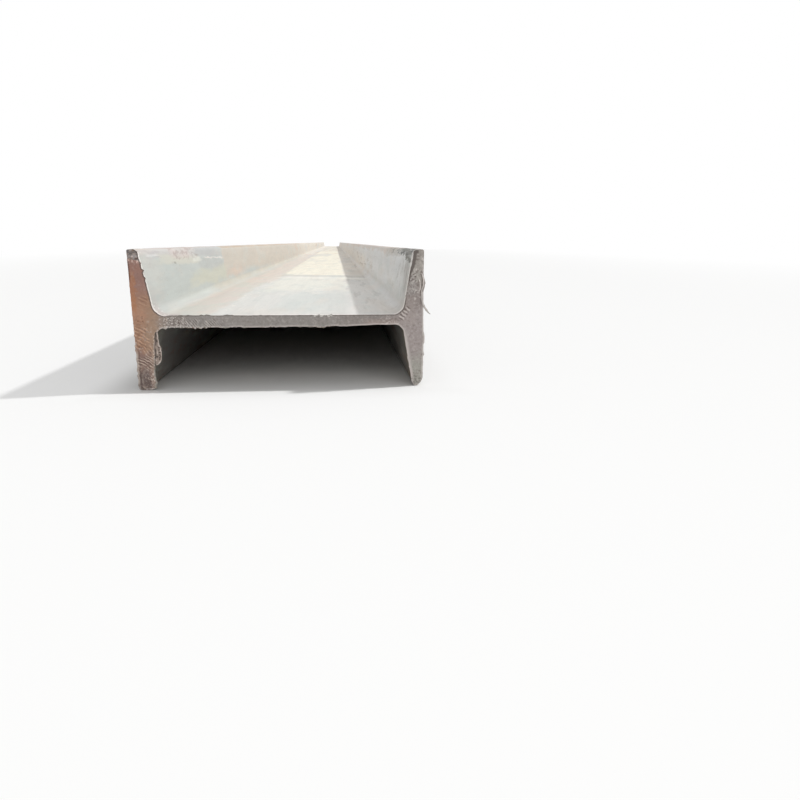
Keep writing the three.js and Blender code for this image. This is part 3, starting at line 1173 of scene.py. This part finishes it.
def light_burrs(g):
    """Light burr along the lower and outer edges, with dots, nicks and beads in places."""
    rim, fine = g.worn_rim, g.fine
    outer_right = g.times(g.ramp(g.x, 116.5, 118), g.ramp(g.z, 106, 98))
    outer_left = g.times(g.ramp(g.x, -116.5, -118), g.ramp(g.z, 46, 36))
    place = g.either(g.times(g.rest(g.above), g.inner), g.either(outer_right, outer_left))
    gaps = g.rest(g.spots((2.2, 2.2, 3.0), 2, 0.6, 21, 0.46, 0.52))
    unbroken = g.rest(g.times(g.ramp(g.x, -95, -100), gaps))
    g.paint((204, 196, 191), g.step(rim, 1.6, 0.8), place, unbroken, 0.6)
    foot = g.times(g.step(fine, 0.55, 0.44), g.near, 0.60)
    by_inner = g.times(g.step(rim, 3.0, 1.6), g.right, 0.60)
    dots = g.times(g.step(rim, 1.9, 1.1), g.step(fine, 0.44, 0.54), 0.60)
    nicks = g.times(g.step(fine, 0.45, 0.55), 0.70)
    outer_leg = g.times(g.step(rim, 1.9, 1.2), g.near, 0.60)
    behind_leg = g.times(g.window(rim, 2.0, 3.0, 0.3), g.near, 0.50)
    wave = g.math("SINE", g.plus(g.times(g.z, 2 * math.pi / (BEAD_PITCH * MM)), fine, 9.0))
    beads = g.times(g.step(wave, 0.1, 0.8), g.step(fine, 0.36, 0.50), g.near)
    beads = g.times(beads, g.window(rim, 1.0, 2.0, 0.35), 0.70)
    g.sharp(
        ((92, 100), (12, 6), (104, 98, 92), foot),
        ((117, 115), (6, 46, 4), (198, 189, 184), by_inner),
        ((116.5, 118.0), (8, 56, 4), (196, 190, 184), dots),
        ((27, 43, 2), (60.3, 61.0), (232, 229, 222), nicks),
        ((-115.0, -116.5), (4, 34, 4), (184, 172, 162), outer_leg),
        ((-115.0, -116.5), (4, 34, 4), (84, 68, 60), behind_leg),
        ((-110.0, -103.5, 1), (26, 47, 2), (232, 212, 190), beads),
    )
    g.films(
        g.window(rim, 0.5, 2.6, 0.4), g.x, g.drift_z,
        ((114.5, 116.0), (72, 97, 3), (104, 95, 89), 0.60),
    )


def sawn_end():
    """The saw cut: brown to rust at the left flange, mauve grey along the web and at the right."""
    g = SawCut()
    for layer in (web_and_right_cut, left_flange_cut, ridge_light_and_groove_shade, painted_edge_shade, light_burrs):
        layer(g)
    height = g.plus(g.times(g.relief, 0.4), g.fine, 0.6)
    return g.finish(g.plus(0.42, g.fine, 0.25), g.bump(height, 0.55, 0.3), 0.25)


def torn_burr():
    """The folded flap of steel: painted light where it stands proud, as at its outer rim, and painted
    shade where it sinks, in the torn comb and groove.
    """
    g = Graph("torn_burr")
    relief = g.value("relief")
    fine = g.noise((1.1, 1.1, 1.1), 4, 0.7, shift=2)
    g.colour = g.mix(fine, (126, 110, 100), (172, 156, 146))
    # painted light on the raised relief and painted shade in the sunken relief
    g.paint((212, 200, 190), g.step(relief, 0.1, 0.8))
    g.paint((66, 56, 50), g.step(relief, -0.1, -0.7), 0.9)
    return g.finish(g.plus(0.40, fine, 0.2), g.bump(fine, 0.5, 0.25), 0.30)


def bright_swarf():
    """Fresh-cut steel of the curl and flakes, with drawn lines along it."""
    g = Graph("bright_swarf")
    drawn = g.noise((0.5, 0.5, 2.5), 3, 0.6, shift=4)
    g.colour = g.mix(drawn, (150, 144, 139), (204, 198, 193))
    g.paint((208, 200, 194), g.ramp(g.z, 76, 86))
    return g.finish(g.plus(0.25, drawn, 0.2), g.bump(drawn, 0.4, 0.1), 0.5)


# ---------------------------------------------------------------- small burrs at the near end
# Outlines and paths across (x) and up (z) the near end's section; a path's third number is
# how proud it stands
FLAP_EDGE = (
    (-105.9, 22.2), (-104.4, 21.2), (-101.9, 22.4), (-100.2, 25.0), (-99.5, 30.0), (-99.7, 36.4),
    (-100.8, 38.4), (-101.0, 43.0), (-101.4, 48.2), (-103.4, 48.8), (-104.6, 44.0), (-105.2, 38.0),
    (-105.6, 30.0),
)
FLAP_EDGE_STEP = 0.45
FLAP_GRID = 0.42
FLAP_THICKNESS = 1.1
FLAP_PROUD = 0.55
FLAP_RELIEF = 0.35
COMB_PITCH = 2.1
CURL_PATH = (
    (118.5, 83.0, 0.2), (118.7, 78.5, 0.5), (118.9, 74.0, 0.7), (119.9, 70.0, 1.0),
    (121.7, 66.9, 1.3), (123.8, 64.1, 1.7), (125.7, 62.3, 2.0),
)
OUTER_FLAKE_PATH = ((118.2, 97.0, 0.1), (119.6, 92.5, 0.5), (119.9, 87.5, 0.6), (118.7, 82.4, 0.3))
INNER_FLAKE_PATH = ((115.6, 93.0, 0.0), (116.9, 89.0, 0.4), (117.1, 84.5, 0.4), (116.2, 80.5, 0.0))
SLIVER_STEP = 0.5
SLIVER_SIDES = 8
# Name, path, width and thickness
SLIVERS = (
    ("swarf_curl", CURL_PATH, 1.8, 0.7),
    ("outer_flake", OUTER_FLAKE_PATH, 1.0, 0.5),
    ("inner_flake", INNER_FLAKE_PATH, 0.9, 0.4),
)


def smooth_curve(points, step, closed):
    """A Catmull-Rom curve through the points, at about the given step."""
    points = np.array(points, float)
    if closed:
        padded = np.concatenate([points[-1:], points, points[:2]])
    else:
        padded = np.concatenate([[2 * points[0] - points[1]], points, [2 * points[-1] - points[-2]]])
    result = []
    for a, b, c, d in zip(padded, padded[1:], padded[2:], padded[3:]):
        cuts = max(1, round(float(np.linalg.norm(c - b)) / step))
        for t in np.arange(cuts) / cuts:
            bend = (2 * a - 5 * b + 4 * c - d) * t * t + (3 * b - a - 3 * c + d) * t ** 3
            result.append(0.5 * (2 * b + (c - a) * t + bend))
    if not closed:
        result.append(points[-1])
    return np.array(result)


def flap_relief(x, z, rim):
    """Raised outer rim, torn comb inside it, and a groove beside the flange."""
    hinge = -103.5 - 0.09 * (47 - z)
    outer = rise(hinge + 1.0, hinge + 1.8, x)
    lip = rise(0.9, 0.35, rim) * outer
    comb = inside(rim, 1.0, 1.9, 0.25) * outer * inside(z, 26.5, 37.5, 1)
    comb = comb * (0.7 + 0.5 * np.sin(z * 2 * math.pi / COMB_PITCH + 2.0 * noise(z / 3, 0, 0, 92)))
    groove = inside(x, hinge + 0.2, hinge + 1.1, 0.3)
    torn = 0.75 * noise(x / 0.8, z / 2.6, 0, 91) + 0.3 * noise(x / 0.7, z / 0.7, 0, 93)
    return np.clip(lip - 0.7 * groove - 1.1 * comb + torn, -1, 1)


def burr_flap():
    """The flap folded along the left leg's inner edge, one closed mesh."""
    edge = smooth_curve(FLAP_EDGE, FLAP_EDGE_STEP, True)
    up = edge[:, 1] / 1.2
    edge = edge + 0.18 * np.stack([noise(up, 0, 0, 81), noise(up, 5, 0, 82)], 1)
    gx, gz = cap_points(edge, FLAP_GRID)
    count = len(edge)
    rim = np.concatenate([np.zeros(count), edge_distance(edge, gx, gz)])
    flat = np.concatenate([edge, np.stack([gx, gz], 1)])
    relief = flap_relief(flat[:, 0], flat[:, 1], rim)
    level = FLAP_PROUD * rise(0.0, 0.6, rim) + FLAP_RELIEF * relief
    front = [(x * MM, NEAR_Y - h * MM, z * MM) for (x, z), h in zip(flat, level)]
    back = [(x * MM, NEAR_Y + FLAP_THICKNESS * MM, z * MM) for x, z in flat]
    total = len(flat)
    faces = triangulate(edge, gx, gz)
    faces += [[total + v for v in reversed(t)] for t in faces]
    for j in range(count):
        k = (j + 1) % count
        faces.append([j, total + j, total + k, k])
    return new_piece("burr_flap", front + back, faces, {"relief": list(relief) + [0.0] * total})


def sliver(name, path, width, thickness):
    """A thin curled strip along a path, closed at both ends."""
    centre = smooth_curve(path, SLIVER_STEP, False)
    ahead = np.gradient(centre, axis=0)
    sideways = np.stack([ahead[:, 1], -ahead[:, 0]], 1)
    sideways /= np.linalg.norm(sideways, axis=1)[:, None]
    sides = SLIVER_SIDES
    last = len(centre) - 1
    points = []
    faces = []
    for i, ((x, z, proud), (side_x, side_z)) in enumerate(zip(centre, sideways)):
        t = i / last
        taper = min(1.0, 0.35 + 3.0 * min(t, 1 - t)) * (1 + 0.15 * float(noise(i / 3, 0, 0, 95)))
        for k in range(sides):
            turn = 2 * math.pi * k / sides
            aside = math.cos(turn) * width / 2 * taper
            depth = proud + math.sin(turn) * thickness / 2 * taper
            points.append(((x + side_x * aside) * MM, NEAR_Y - depth * MM, (z + side_z * aside) * MM))
            a, b = i * sides + k, i * sides + (k + 1) % sides
            if i < last:
                faces.append([a, a + sides, b + sides, b])
    faces.append(list(range(sides)))
    faces.append([last * sides + k for k in reversed(range(sides))])
    return new_piece(name, points, faces, {})


# ---------------------------------------------------------------- stage, light and camera
# In metres: the floor's side, how far from the beam its shadow shows, and how far it fades
FLOOR_SIZE = 120.0
SHADED_REACH = 0.5
FADE_LENGTH = 2.5
FLOOR_COLOUR = (243, 243, 242)
# The share of white that makes the shadow beside the beam paler
SHADOW_LIFT = 0.40

WHITE = (1, 1, 1, 1)
WORLD_STRENGTH = 0.48
SUN_STRENGTH = 2.20
SUN_ANGLE = 3.0
SUN_FROM = (0.70, 0.15, 0.76)
# A lamp in front of the near end, its size and place in metres
FRONT_POWER = 6.8
FRONT_SIZE = (2.2, 1.2)
FRONT_PLACE = (0.3, NEAR_Y - 1.9, 1.1)
FRONT_TARGET = (0, NEAR_Y, 0.06)

# The camera, placed in metres from the middle of the near end's foot line and turned in degrees
CAMERA_OFFSET = (0.04626, -0.55415, 0.12183)
CAMERA_YAW = 5.566
CAMERA_PITCH = 13.603
CAMERA_ROLL = 0.158
CAMERA_LENS = 29.354


def floor_material():
    """Pale, with the object's shadow near it, and white further off for the camera."""
    g = Graph("pale_floor")
    g.shader.inputs["Base Color"].default_value = linear(FLOOR_COLOUR)
    g.shader.inputs["Roughness"].default_value = 0.9
    g.shader.inputs["Specular IOR Level"].default_value = 0.1
    beside = g.math("SUBTRACT", g.math("ABSOLUTE", g.x), HALF_DEPTH * MM)
    beyond = g.math("SUBTRACT", g.math("ABSOLUTE", g.y), LENGTH / 2 * MM)
    distance = g.either(beside, beyond)
    open_floor = g.step(distance, SHADED_REACH, SHADED_REACH + FADE_LENGTH)
    lift = g.plus(g.times(g.ramp(distance, 0, 50), SHADOW_LIFT), open_floor, 1 - SHADOW_LIFT)
    glow = g.node("Emission", {"Color": WHITE}).outputs[0]
    inputs = {0: g.times(lift, g.seen()), 1: g.shader.outputs[0], 2: glow}
    g.put(g.output.inputs["Surface"], g.node("MixShader", inputs).outputs[0])
    return g.material


def add_floor():
    half = FLOOR_SIZE / 2
    corners = [(-half, -half, 0), (half, -half, 0), (half, half, 0), (-half, half, 0)]
    data = bpy.data.meshes.new("floor")
    data.from_pydata(corners, [], [(0, 1, 2, 3)])
    data.materials.append(floor_material())
    new_object("floor", data)


def add_world():
    """A white sky: full strength for the rays that show it, weaker as a light."""
    world = bpy.data.worlds.new("white_sky")
    world.use_nodes = True
    sky = Nodes(world.node_tree)
    strength = sky.node("MapRange", {"Value": sky.seen(), "To Min": WORLD_STRENGTH, "To Max": 1.0})
    background = sky.tree.nodes["Background"]
    sky.put(background.inputs["Color"], WHITE)
    sky.put(background.inputs["Strength"], strength.outputs["Result"])
    bpy.context.scene.world = world


def place_lamp(light, location, shines_from):
    lamp = new_object(light.name, light)
    lamp.location = location
    lamp.rotation_euler = Vector(shines_from).to_track_quat("Z", "Y").to_euler()


def add_lamps():
    """A soft sun from the right and a broad lamp in front of the near end."""
    sun = bpy.data.lights.new("soft_sun", "SUN")
    sun.energy = SUN_STRENGTH
    sun.angle = math.radians(SUN_ANGLE)
    place_lamp(sun, (0, 0, 0), SUN_FROM)
    panel = bpy.data.lights.new("front_panel", "AREA")
    panel.shape = "RECTANGLE"
    panel.size, panel.size_y = FRONT_SIZE
    panel.energy = FRONT_POWER
    place_lamp(panel, FRONT_PLACE, Vector(FRONT_PLACE) - Vector(FRONT_TARGET))


def add_camera():
    lens = bpy.data.cameras.new("camera")
    lens.lens = CAMERA_LENS
    lens.sensor_width = 36.0
    lens.sensor_fit = "HORIZONTAL"
    lens.clip_start = 0.02
    lens.clip_end = 300.0
    camera = new_object("camera", lens)
    turn = Matrix.Rotation(-math.radians(CAMERA_YAW), 4, "Z")
    tilt = Matrix.Rotation(math.pi / 2 - math.radians(CAMERA_PITCH), 4, "X")
    roll = Matrix.Rotation(math.radians(CAMERA_ROLL), 4, "Z")
    place = Matrix.Translation(Vector((0, NEAR_Y, 0)) + Vector(CAMERA_OFFSET))
    camera.matrix_world = place @ turn @ tilt @ roll
    bpy.context.scene.camera = camera


def dress(piece, *materials):
    """Gives a piece its materials and ties it to the beam's body and material slot."""
    for material in materials:
        piece.data.materials.append(material)
    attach(piece, "root")


def main():
    add_camera()
    add_world()
    add_lamps()
    add_floor()
    skin, cut, torn, bright = rolled_skin(), sawn_end(), torn_burr(), bright_swarf()
    beam = build_beam()
    dress(beam, skin, cut)
    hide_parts("i_beam")
    dress(burr_flap(), torn)
    for shape in SLIVERS:
        dress(sliver(*shape), bright)
    bpy.context.scene.view_settings.view_transform = "Standard"


main()
